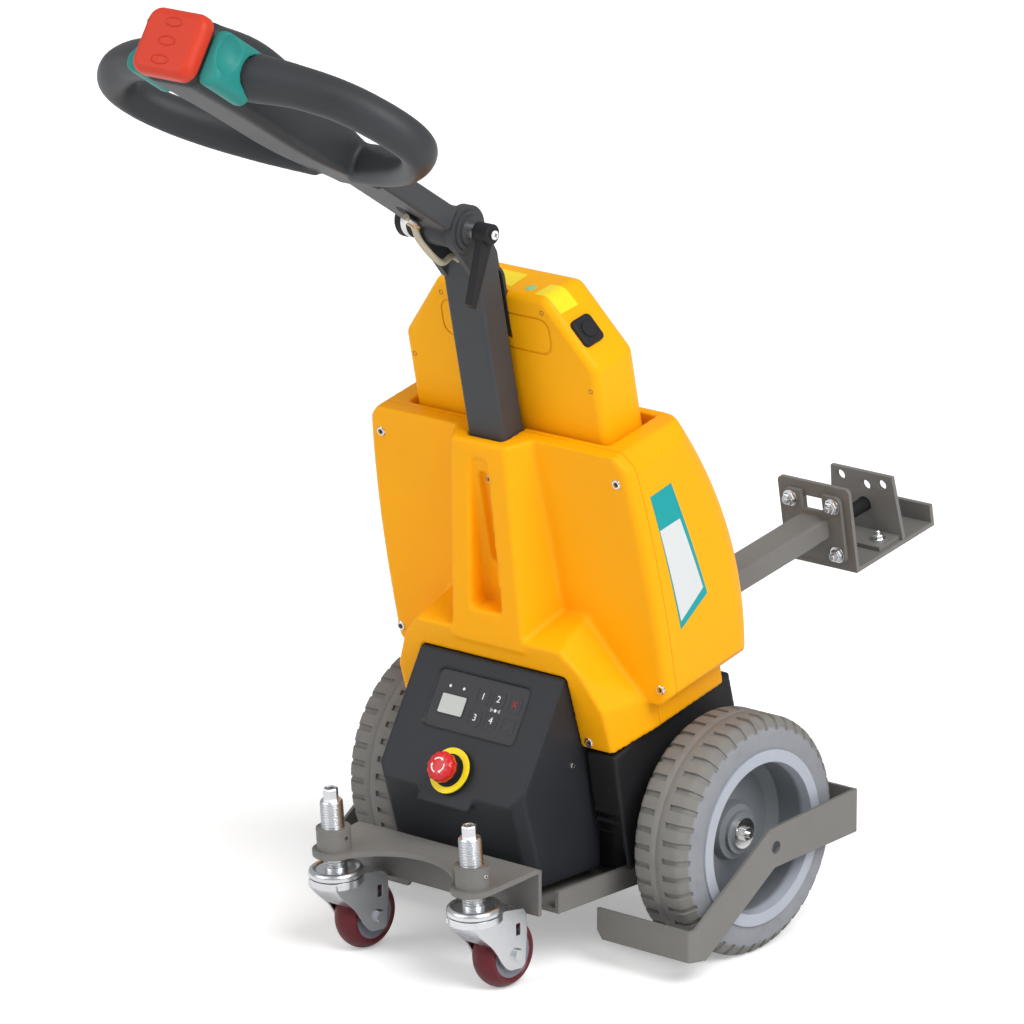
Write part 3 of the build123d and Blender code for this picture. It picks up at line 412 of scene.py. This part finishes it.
def tyre(side, name):
    """One tyre with two staggered rows of cross grooves, standing for the plain tyre of the part."""
    bm = bmesh.new()
    rings = []
    for p in range(PITCHES):
        for k, share in enumerate(STATIONS):
            a = 2 * pi * (p + share) / PITCHES
            b = 2 * pi * (p + share + 0.5) / PITCHES
            ring = []
            for x, r in TYRE_ROWS:
                angle = a if x < -2 else b
                if abs(x) < 1.5:
                    angle = (a + b) / 2
                if k in (2, 3) and abs(x) > 8.8 and r > 117:
                    r -= GROOVE_DEPTH
                ring.append(bm.verts.new((side * (TYRE_MIDDLE + x), r * cos(angle), r * sin(angle))))
            rings.append(ring)
    for ring, other in zip(rings, rings[1:] + rings[:1]):
        for j in range(len(TYRE_ROWS)):
            k = (j + 1) % len(TYRE_ROWS)
            bm.faces.new((ring[j], ring[k], other[k], other[j]))
    obj = piece(f"tyre_tread_{name}", from_bmesh(f"tyre_tread_{name}", bm, crease=35), RUBBER, f"wheel_{name}",
                Matrix.Translation(axle) @ Matrix.Scale(mm, 4))
    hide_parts(f"tyre_{name}")


for side, tag in SIDES:
    tyre(side, tag)


# Softly rounded mouldings

def merged(names):
    """One bmesh of several CAD nodes."""
    bm = bmesh.new()
    for name in names:
        bm.from_mesh(nodes[name].data)
    return bm


def remeshed(name, bm, voxel, passes):
    """The same form with every edge rounded as a mould rounds it."""
    mesh = bpy.data.meshes.new(name)
    bm.to_mesh(mesh)
    bm.free()
    obj = bpy.data.objects.new(name, mesh)
    bpy.context.scene.collection.objects.link(obj)
    remesh = obj.modifiers.new("remesh", "REMESH")
    remesh.mode = "VOXEL"
    remesh.voxel_size = voxel * mm
    smooth = obj.modifiers.new("smooth", "SMOOTH")
    smooth.factor = 0.5
    smooth.iterations = passes
    dg = bpy.context.evaluated_depsgraph_get()
    out = bpy.data.meshes.new_from_object(obj.evaluated_get(dg))
    bpy.data.objects.remove(obj)
    out.shade_smooth()
    return out


def moulding(name, node, material, voxel, passes):
    """A rounded copy of one CAD node that stands for it."""
    obj = piece(name, remeshed(name, merged([node]), voxel, passes), material, body_of(node))
    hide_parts(node)


def hood_corner(bm, side):
    """Adds the hood's solid corner on one side, just inside its skin, where the housing's pocket breaks through."""
    points = ((116, -50, 225.5), (159.5, -50, 175.5), (159.5, -50, 150), (116, -50, 150), (123.5, -114.2, 219.5),
              (142.5, -110.5, 179.8), (142.5, -107.7, 150.4), (116, -107.7, 150.4), (116, -114.2, 222))
    block = [(x, v, w) for x in (127, 144) for v in (-58.3, -50) for w in (194, 212)]
    for corners in (points, block):
        bmesh.ops.convex_hull(bm, input=[bm.verts.new(BODY @ Vector((side * x, v, w))) for x, v, w in corners])


SEAM = -44                   # the plane between the shell's halves, millimetres along BODY's y
HALF_GAP = 0.3 * mm          # half of the seam's open line
NEAR_SEAM = 0.4 * mm
seam_at = BODY @ Vector((0, SEAM, 0))
seam_normal = (BODY @ Vector((0, SEAM + 1, 0)) - seam_at).normalized()
both = merged(["front_shell", "rear_shell"])
for v in both.verts:         # the halves' edges overlap a little, so that the remesh joins them
    d = (v.co - seam_at).dot(seam_normal)
    if abs(d) < NEAR_SEAM:
        v.co -= seam_normal * (d * 2.6)
for side, _ in SIDES:
    hood_corner(both, side)
whole = remeshed("shell_whole", both, 2.4, 8)
for name, side in (("front_shell", -1), ("rear_shell", 1)):
    bm = bmesh.new()
    bm.from_mesh(whole)
    cut = bmesh.ops.bisect_plane(bm, geom=bm.verts[:] + bm.edges[:] + bm.faces[:], plane_no=seam_normal * side,
                                 plane_co=seam_at + seam_normal * side * HALF_GAP, clear_inner=True)
    open_edges = [e for e in cut["geom_cut"] if isinstance(e, bmesh.types.BMEdge)]
    bmesh.ops.triangle_fill(bm, use_beauty=True, edges=open_edges)
    mesh = bpy.data.meshes.new(f"{name}_moulding")
    bm.to_mesh(mesh)
    bm.free()
    mesh.shade_smooth()
    mesh.set_sharp_from_angle(angle=radians(50))
    skin = piece(f"{name}_moulding", mesh, YELLOW, body_of(name))
    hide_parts(name)
moulding("console_moulding", "control_console", CONSOLE, 1.7, 7)
moulding("housing_moulding", "lower_housing", BLACK, 2.2, 4)


# Tiller head with its two handle loops, in one moulding

def tube_along(bm, route, side, steps=9, around=24):
    """Adds a closed tube of changing oval section; each stop gives x, distance, height, half-height and half-width."""
    stops = [(Vector((side * x, -h, t)), tall, wide) for x, t, h, tall, wide in route]
    samples = []
    for i in range(len(stops) - 1):
        four = [stop[0] for stop in neighbours(stops, i)]
        for k in range(steps):
            u = k / steps
            (_, tall, wide), (_, tall_next, wide_next) = stops[i:i + 2]
            samples.append((curve_point(*four, u), tall + (tall_next - tall) * u, wide + (wide_next - wide) * u))
    samples.append(stops[-1])
    rings = []
    for i, (place, tall, wide) in enumerate(samples):
        way = (samples[min(i + 1, len(samples) - 1)][0] - samples[max(i - 1, 0)][0]).normalized()
        across = way.cross(Vector((0, 1, 0))).normalized()
        up = across.cross(way).normalized()
        rings.append([bm.verts.new(TILLER @ (place + across * wide * x + up * tall * y))
                      for x, y in circle(1, around)])
    join_rings(bm, zip(rings, rings[1:]))
    bm.faces.new(rings[0][::-1])
    bm.faces.new(rings[-1])


LOOP = ((20, 428, 1, 24, 24), (58, 416, -1, 25, 25), (98, 402, -4, 22, 22), (140, 381, -4, 21, 21),
        (174, 359, 1, 21, 21), (194, 334, 6, 20.5, 20.5), (194, 307, 10, 20, 19), (172, 278, 13, 20, 16),
        (132, 246, 12, 21, 14), (80, 215, 8, 22, 13), (24, 192, 4, 22, 13))
bm = merged(["tiller_head"])
for side, _ in SIDES:
    tube_along(bm, LOOP, side)
bmesh.ops.recalc_face_normals(bm, faces=bm.faces)
head_moulding = piece("head_moulding", remeshed("head_moulding", bm, 2.0, 9), HEAD, "tiller")
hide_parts("tiller_head", "grip_left", "grip_right")
THROTTLE_ROOT = (38, 4, 474)            # where a throttle leaves the head, in TILLER
THROTTLE_SHARE = (0.86, 0.86, 0.74)     # its size against the CAD's, along x, y and z
for side, tag in SIDES[::-1]:
    bm = merged([f"throttle_{tag}"])
    for v in bm.verts:
        q = TILLER.inverted() @ v.co
        q.x *= side
        q = Vector([root + (value - root) * share for value, root, share in zip(q, THROTTLE_ROOT, THROTTLE_SHARE)])
        q.x *= side
        v.co = TILLER @ q
    lever = piece(f"throttle_moulding_{tag}", remeshed(f"throttle_moulding_{tag}", bm, 1.1, 12), TEAL, "tiller")
    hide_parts(f"throttle_{tag}")


# Shell screws and label

def cast(tree, base, x, y, high):
    """The point and normal where a line down one local frame's z first meets a surface."""
    start = base @ Vector((x, y, high))
    return tree.ray_cast(start, (base @ Vector((x, y, high - 10)) - start).normalized())


def tree_of(obj):
    """A search tree of one object's faces."""
    return BVHTree.FromPolygons([v.co for v in obj.data.vertices], [p.vertices for p in obj.data.polygons])


def seat(tree, base, x, y, high=160):
    """Height of the surface above one local plane at x and y, looking down from above."""
    hit = cast(tree, base, x, y, high)[0]
    return (base.inverted() @ hit).z


front_tree = tree_of(bpy.data.objects["front_shell_moulding"])
rear_tree = tree_of(bpy.data.objects["rear_shell_moulding"])
pack_tree = tree_of(nodes["battery_pack"])
for side, tag in SIDES:
    for w, x, place in ((428, 163, "top"), (192, 181, "low"), (138, 113, "hood")):
        socket_screw(f"shell_screw_{place}_{tag}", FRONT, side * x, w, seat(front_tree, FRONT, side * x, w), "chassis")
for w, place in ((411, "top"), (329, "low")):
    socket_screw(f"slot_screw_{place}", FRONT, 0, w, seat(front_tree, FRONT, 0, w), "chassis", r=4.6)


def draped(name, tree, base, corners, material, body, lift=0.25, columns=8, rows=24, high=300):
    """A thin label that lies on a curved surface, from four corners in one local frame."""
    (x0, y0), (x1, y1), (x2, y2), (x3, y3) = corners
    bm = bmesh.new()
    grid = []
    for i in range(rows + 1):
        b = i / rows
        line = []
        for j in range(columns + 1):
            a = j / columns
            x = (1 - b) * ((1 - a) * x0 + a * x1) + b * ((1 - a) * x3 + a * x2)
            y = (1 - b) * ((1 - a) * y0 + a * y1) + b * ((1 - a) * y3 + a * y2)
            place, normal = cast(tree, base, x, y, high)[:2]
            line.append(bm.verts.new(place + normal * lift * mm))
        grid.append(line)
    for low, top in zip(grid, grid[1:]):
        for j in range(columns):
            bm.faces.new((low[j], low[j + 1], top[j + 1], top[j]))
    return piece(name, from_bmesh(name, bm), material, body)


# Console: display, keys and stop button

FILM = -2.95                 # a level just inside the keypad's film, along FACE's z
KEY_CORNER = 3.5


def mark(name, outline, material, z=FILM, thick=0.25):
    """A thin printed mark on the console's keypad."""
    piece(name, slab(name, outline, z, z + thick), material, "chassis", FACE)


def frame_mark(name, cx, cy, width, height, line, material, thick=0.5):
    """A thin raised outline round one key."""
    outer = rounded(width, height, KEY_CORNER, cx, cy)
    inner = rounded(width - 2 * line, height - 2 * line, KEY_CORNER - line, cx, cy)
    bm = bmesh.new()
    rings = []
    for outline, h in ((outer, FILM), (outer, FILM + thick), (inner, FILM + thick), (inner, FILM)):
        rings.append([bm.verts.new((x, y, h)) for x, y in outline])
    join_rings(bm, zip(rings, rings[1:] + rings[:1]))
    piece(name, from_bmesh(name, bm), material, "chassis", FACE)


def digit(name, text, x, y):
    """A generic digit printed on a key."""
    curve = bpy.data.curves.new(name, "FONT")
    curve.body = text
    curve.size = 10.5
    curve.extrude = 0.12
    curve.align_x = "CENTER"
    curve.align_y = "CENTER"
    holder = bpy.data.objects.new(name, curve)
    bpy.context.scene.collection.objects.link(holder)
    dg = bpy.context.evaluated_depsgraph_get()
    mesh = bpy.data.meshes.new_from_object(holder.evaluated_get(dg))
    bpy.data.objects.remove(holder)
    piece(name, mesh, INK, "chassis", at(FACE, x, y, FILM + 0.1))


mark("display", rounded(33, 21, 1.5, -33.5, -54.5), SCREEN, thick=0.5)
frame_mark("display_frame", -33.5, -54.5, 36, 24, 1.2, KEYPAD)
for n, x in ((1, -44), (2, -25)):
    mark(f"indicator_{n}", circle(1.6, 12, x, -35), INK)
for text, x, y in (("1", 3, -38), ("2", 24, -37), ("3", 1, -62), ("4", 23, -61)):
    digit(f"digit_{text}", text, x, y)
    frame_mark(f"key_{text}", x, y, 17, 18, 0.5, KEY_EDGE)
for n, y in (("stop", -38), ("enter", -62)):
    frame_mark(f"key_{n}", 47, y, 17, 18, 0.5, KEY_EDGE)


def bar(x0, y0, x1, y1, width):
    """The outline of a straight stroke."""
    d = Vector((x1 - x0, y1 - y0)).normalized() * width / 2
    return [(x0 - d.y, y0 + d.x), (x0 + d.y, y0 - d.x), (x1 + d.y, y1 - d.x), (x1 - d.y, y1 + d.x)]


mark("cross_a", bar(44, -34.5, 50, -41.5, 1.3), WARN)
mark("cross_b", bar(50, -34.5, 44, -41.5, 1.3), WARN, z=FILM + 0.05)
mark("tick_a", bar(44, -62, 46.3, -65, 1.1), KEY_EDGE)
mark("tick_b", bar(46.1, -65.2, 50.5, -59, 1.1), KEY_EDGE, z=FILM + 0.05)
SENSOR_X = 24.5
mark("sensor_dot", circle(1.8, 12, SENSOR_X, -49.5), INK)
for side, tag in SIDES[::-1]:
    near, far = SENSOR_X + side * 3.2, SENSOR_X + side * 6.8
    mark(f"sensor_wave_{tag}", [(near, -48.7), (far, -47), (far, -52), (near, -50.3)], PRINT_GREY)

STOP_Y = -124                # the stop button's place on the console, along FACE's y
knob_profile = ((12, 8), (16, 9.4), (16.8, 11.5), (16.8, 17), (16.2, 19), (13.6, 21), (9, 21.8), (0.3, 22))
bm = bmesh.new()
knob_rings = []
for r, h in knob_profile:
    ring = []
    for i in range(96):
        a = 2 * pi * i / 96
        dip = 0.5 * (1 - cos(12 * a)) * 0.75 if 15 < r else 0
        ring.append(bm.verts.new(((r - dip) * cos(a), (r - dip) * sin(a), h)))
    knob_rings.append(ring)
join_rings(bm, zip(knob_rings, knob_rings[1:]))
bm.faces.new(knob_rings[0])
bm.faces.new(knob_rings[-1])
stop_knob = piece("stop_knob", from_bmesh("stop_knob", bm), STOP_RED, "chassis", at(FACE, 0, STOP_Y, 5.9))
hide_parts("emergency_stop_button")


def arc_arrow(name, start, sweep, r, width, z):
    """One curved arrow printed on the stop button."""
    arc = [radians(start + sweep * i / 8) for i in range(9)]
    tip = radians(start + sweep * 1.28)
    points = [(r + width / 2, a) for a in arc]
    points += [(r + width * 1.3, arc[-1]), (r, tip), (r - width * 1.3, arc[-1])]
    points += [(r - width / 2, a) for a in arc[::-1]]
    outline = [(away * cos(a), away * sin(a) + STOP_Y) for away, a in points]
    piece(name, slab(name, outline, z, z + 0.25), INK, "chassis", FACE)


for n in range(3):
    arc_arrow(f"stop_arrow_{n + 1}", 120 * n + 20, -70, 8.0, 1.5, 27.78)
piece("stop_collar", turned("stop_collar", [(18.2, 1.9), (18.2, 2.8), (14, 3.6), (13.5, 8)], 48), DARK_AND_HOLE_SHADE, "chassis",
      at(FACE, 0, STOP_Y, 5.0))
for side, tag in SIDES:
    side_base = local(axle + Vector((side * 0.100, 0, 0)), (0, 1, 0), (side, 0, 0))
    socket_screw(f"console_screw_{tag}", side_base, -145, 86 * side, 0, "chassis", r=3.4)


# Tiller details

def oval_ring(name, cx, cy, z, width, height, line):
    """A raised oval line on the belly button."""
    bm = bmesh.new()
    rings = []
    for k in range(8):
        b = 2 * pi * k / 8
        out, up = line * cos(b), line * 0.7 * sin(b)
        ring = []
        for x, y in circle(1, 32):
            ring.append(bm.verts.new((cx + (width / 2 + out) * x, cy + (height / 2 + out) * y, z + up)))
        rings.append(ring)
    join_rings(bm, zip(rings, rings[1:] + rings[:1]))
    piece(name, from_bmesh(name, bm), RED, "tiller", TILLER)


for n, y in enumerate((20, 0, -20)):
    oval_ring(f"button_oval_{n + 1}", 0, y, 494.0, 22, 9, 0.8)


# Label on the shell's side and stickers on the battery

draped("side_label", rear_tree, SIDE_RIGHT, ((-33.5, 406), (1.5, 407), (24, 270), (-24.8, 249)), LABEL_TEAL,
       "chassis")
draped("side_label_field", rear_tree, SIDE_RIGHT, ((-30.5, 366), (2.5, 366), (18.5, 279), (-23, 258)), LABEL_GREY,
       "chassis", lift=0.45)
draped("battery_label", pack_tree, BODY, ((56.5, -25), (57.4, 1), (89, 4), (88.4, -24)), LABEL_YELLOW, "battery",
       high=700, rows=10, columns=14)
draped("battery_label_far", pack_tree, BODY, ((-22, -19), (20, -19), (18, 11), (-22, 12)), LABEL_YELLOW, "battery",
       high=700, rows=6, columns=8)
piece("battery_dot", turned("battery_dot", [(6, 0), (6, 0.3), (5.6, 0.4)], 32), LABEL_GREEN, "battery",
      at(BODY, 43, -14, 612))
for side, tag in SIDES:
    for n, (x, w) in enumerate(((69.3, 595.5), (121.6, 515))):
        name = f"battery_screw_{tag}_{n + 1}"
        piece(name, turned(name, [(2.7, -0.5), (2.7, 0.15), (2.2, 0.3), (1.6, -0.2)], 20), COPPER, "battery",
              at(FRONT, side * x, w, 32))


# Clamp and cable

piece("clamp_screw", turned("clamp_screw", [(4.9, 62.6), (4.9, 64.2), (4.2, 64.7)], 28), INK, "chassis", PIN)
# the dark cross on the clamp screw is painted shade standing for its cross recess
for n, turn in enumerate((20, 110)):
    d = Vector((cos(radians(turn)), sin(radians(turn)))) * 2.6
    piece(f"clamp_cross_shade_{n + 1}", slab(f"clamp_cross_shade_{n + 1}", bar(-d.x, -d.y, d.x, d.y, 1.0), 64.65, 64.85), DARK_AND_HOLE_SHADE,
          "chassis", PIN)
piece("clamp_knob_far", turned("clamp_knob_far", [(12, 49), (19.3, 49.6), (19.6, 52), (19.6, 56.6), (18.4, 58.3),
      (7, 58.3), (6.5, 56.5)], 40), BLACK, "chassis", PIN_FAR)
piece("clamp_knob_screw", turned("clamp_knob_screw", [(5.5, 56), (5.5, 59), (4.5, 59.6)], 24), BRIGHT, "chassis",
      PIN_FAR)
# the dark oval is painted shade standing for the opening where the cable enters the tiller
slot_outline = [(8.5 * cos(2 * pi * i / 40), 64 + 21 * sin(2 * pi * i / 40)) for i in range(40)]
piece("cable_slot_shade", slab("cable_slot_shade", slot_outline, 12.6, 13.15), DARK_AND_HOLE_SHADE, "tiller", UNDER)
crimp_outline = [(3.7, -66), (4.9, -65), (4.9, -52), (4.2, -51), (4.2, -44), (3.6, -43)]
piece("cable_crimp", turned("cable_crimp", crimp_outline, 24), BRIGHT, "tiller",
      at(TILLER, 0, -18.2, 0) @ Matrix.Rotation(pi, 4, "X"))


def cord(name, stops, radius, steps=10, around=18):
    """A round cord through the given points, closed at both ends."""
    centres = [curve_point(*neighbours(stops, i), k / steps) for i in range(len(stops) - 1) for k in range(steps)]
    centres.append(stops[-1])
    bm = bmesh.new()
    rings = []
    for i, centre in enumerate(centres):
        way = (centres[min(i + 1, len(centres) - 1)] - centres[max(i - 1, 0)]).normalized()
        across = (Vector((1, 0, 0)) - way * way.x).normalized()
        up = way.cross(across)
        rings.append([bm.verts.new(centre + radius * (across * x + up * y)) for x, y in circle(1, around)])
    join_rings(bm, zip(rings, rings[1:]))
    bm.faces.new(rings[0])
    bm.faces.new(rings[-1])
    return from_bmesh(name, bm)


CABLE_RADIUS = 0.0035
cable_stops = ([TILLER @ Vector(p) for p in ((0, -17.1, 68), (0, -18.5, 54), (-2, -30, 30))]
               + [BODY @ Vector(p) for p in ((-2, -95, 668), (0, -76, 667), (0, -54.5, 640))])
cable_mesh = cord("cable_loop", cable_stops, CABLE_RADIUS)
cable_mesh.materials.append(CABLE)
cable = bpy.data.objects.new("cable_loop", cable_mesh)
bpy.context.scene.collection.objects.link(cable)
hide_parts("tiller_cable")
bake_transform(cable)


# Castor stems

THREAD_PITCH = 2.95
stem_outline = [(5.5, -11), (5.5, 0.1), (28.5, 0.1), (30, 1.6), (30, 4.5), (29.3, 6.8), (27.6, 8.4), (25.5, 9),
                (23.5, 8.2), (21.5, 6.6), (16, 6.2), (12.4, 6.4), (12.4, 9)]
for n in range(25):
    stem_outline += [(r, h + THREAD_PITCH * n) for r, h in ((12.5, 9.8), (12.5, 10.5), (11.2, 11.6), (11.2, 12.1))]
stem_outline += [(12.3, 83.2), (11, 85)]
head_outline = [(8.4, 84), (8.4, 97), (7.6, 98), (4.9, 98), (4.9, 91)]
for side, tag in SIDES:
    stem_dir = (0, -sin(castor_lean), cos(castor_lean))
    foot = at(local(Vector(joint(f"castor_turn_{tag}")["pos_m"]), (1, 0, 0), stem_dir), 0, 0, -24)
    rider = body_of(f"castor_stem_{tag}")
    stem = piece(f"castor_stem_thread_{tag}", turned(f"castor_stem_thread_{tag}", stem_outline, 56), ZINC, rider,
                 foot)
    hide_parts(f"castor_stem_{tag}")
    piece(f"castor_stem_head_{tag}", turned(f"castor_stem_head_{tag}", head_outline, 6), ZINC, rider, foot)
    screw_base = local(axle + Vector((side * 0.0970, -0.3006, -0.014)), (0, 1, 0), (side, 0, 0))
    socket_screw(f"collar_screw_{tag}", screw_base, -1.8 * side, 20 * side, 18.2, "chassis", r=2.5)


# Coupling bolts

flange = local(ARM @ Vector((0, 0, 0)), (1, 0, 0), (0, -cos(pitch), -sin(pitch)))
tongue = local(ARM @ Vector((0, -40, 66)), (-1, 0, 0), (0, -sin(pitch), cos(pitch)))
for n, (x, y) in enumerate(((-29.5, 29), (29.5, 29), (-29.5, -29), (29.5, -29))):
    hex_bolt(f"coupling_bolt_{n + 1}", flange, x, y, 5.2, "chassis", r=7.4, h=7.5, washer=9.6)
for n, x in enumerate((30, -30)):
    hex_bolt(f"tongue_bolt_{n + 1}", tongue, x, 0, 0, "chassis", r=6.5, h=6.5, washer=8.5)


# Stage

def stage():
    """A pale floor, soft light and the camera at the photo's own angle."""
    m = shade("floor_white", (0.90, 0.90, 0.90), rough=0.9, vary=0.01, grain=200, bump=0.0, soft=0)
    t = m.node_tree
    seen = t.nodes.new("ShaderNodeLightPath")
    t.nodes["Principled BSDF"].inputs["Emission Color"].default_value = (1, 1, 1, 1)
    share = t.nodes.new("ShaderNodeMath")     # the floor glows for the camera alone, so that it fades into the world
    share.operation = "MULTIPLY"
    share.inputs[1].default_value = 0.32
    t.links.new(seen.outputs["Is Camera Ray"], share.inputs[0])
    t.links.new(share.outputs["Value"], t.nodes["Principled BSDF"].inputs["Emission Strength"])
    bm = bmesh.new()
    bmesh.ops.create_grid(bm, x_segments=1, y_segments=1, size=14)
    mesh = bpy.data.meshes.new("floor")
    bm.to_mesh(mesh)
    bm.free()
    mesh.materials.append(m)
    floor = bpy.data.objects.new("floor", mesh)
    bpy.context.scene.collection.objects.link(floor)
    world = bpy.data.worlds.new("studio")
    bpy.context.scene.world = world
    world.use_nodes = True
    t = world.node_tree
    back = t.nodes["Background"]
    back.inputs["Color"].default_value = (1, 1, 1, 1)
    back.inputs["Strength"].default_value = 0.42
    for name, source, angle, power in (("key", (1.0, -0.25, 1.15), 35, 2.0), ("fill", (-0.5, -1.0, 0.8), 50, 0.55)):
        lamp = bpy.data.lights.new(name, "SUN")
        lamp.angle = radians(angle)
        lamp.energy = power
        obj = bpy.data.objects.new(name, lamp)
        obj.location = Vector(source) * 3
        obj.rotation_euler = (-Vector(source)).to_track_quat("-Z", "Y").to_euler()
        bpy.context.scene.collection.objects.link(obj)
    for name, place, size, power in (("panel_right", (2.6, -0.6, 1.6), 1.6, 14),
                                     ("panel_left", (-1.6, -2.4, 1.8), 1.4, 9)):
        lamp = bpy.data.lights.new(name, "AREA")
        lamp.size = size
        lamp.energy = power
        obj = bpy.data.objects.new(name, lamp)
        obj.location = place
        obj.rotation_euler = (Vector((0, 0, 0.5)) - Vector(place)).to_track_quat("-Z", "Y").to_euler()
        bpy.context.scene.collection.objects.link(obj)
    lens = bpy.data.cameras.new("camera")
    lens.sensor_width = 36
    lens.lens = 7590 / 1024 * 36     # a focal length of 7590 pixels in a picture 1024 pixels wide
    lens.clip_end = 100
    camera = bpy.data.objects.new("camera", lens)
    aim = Vector((-1.4041, 1.5 + axle.y, -0.1332))
    az, el = radians(40.8), radians(15.7)
    camera.location = aim + 10.2209 * Vector((sin(az) * cos(el), -cos(az) * cos(el), sin(el)))
    camera.rotation_euler = (aim - camera.location).to_track_quat("-Z", "Y").to_euler()
    bpy.context.scene.collection.objects.link(camera)
    bpy.context.scene.camera = camera
    bpy.context.scene.view_settings.view_transform = "Standard"


stage()
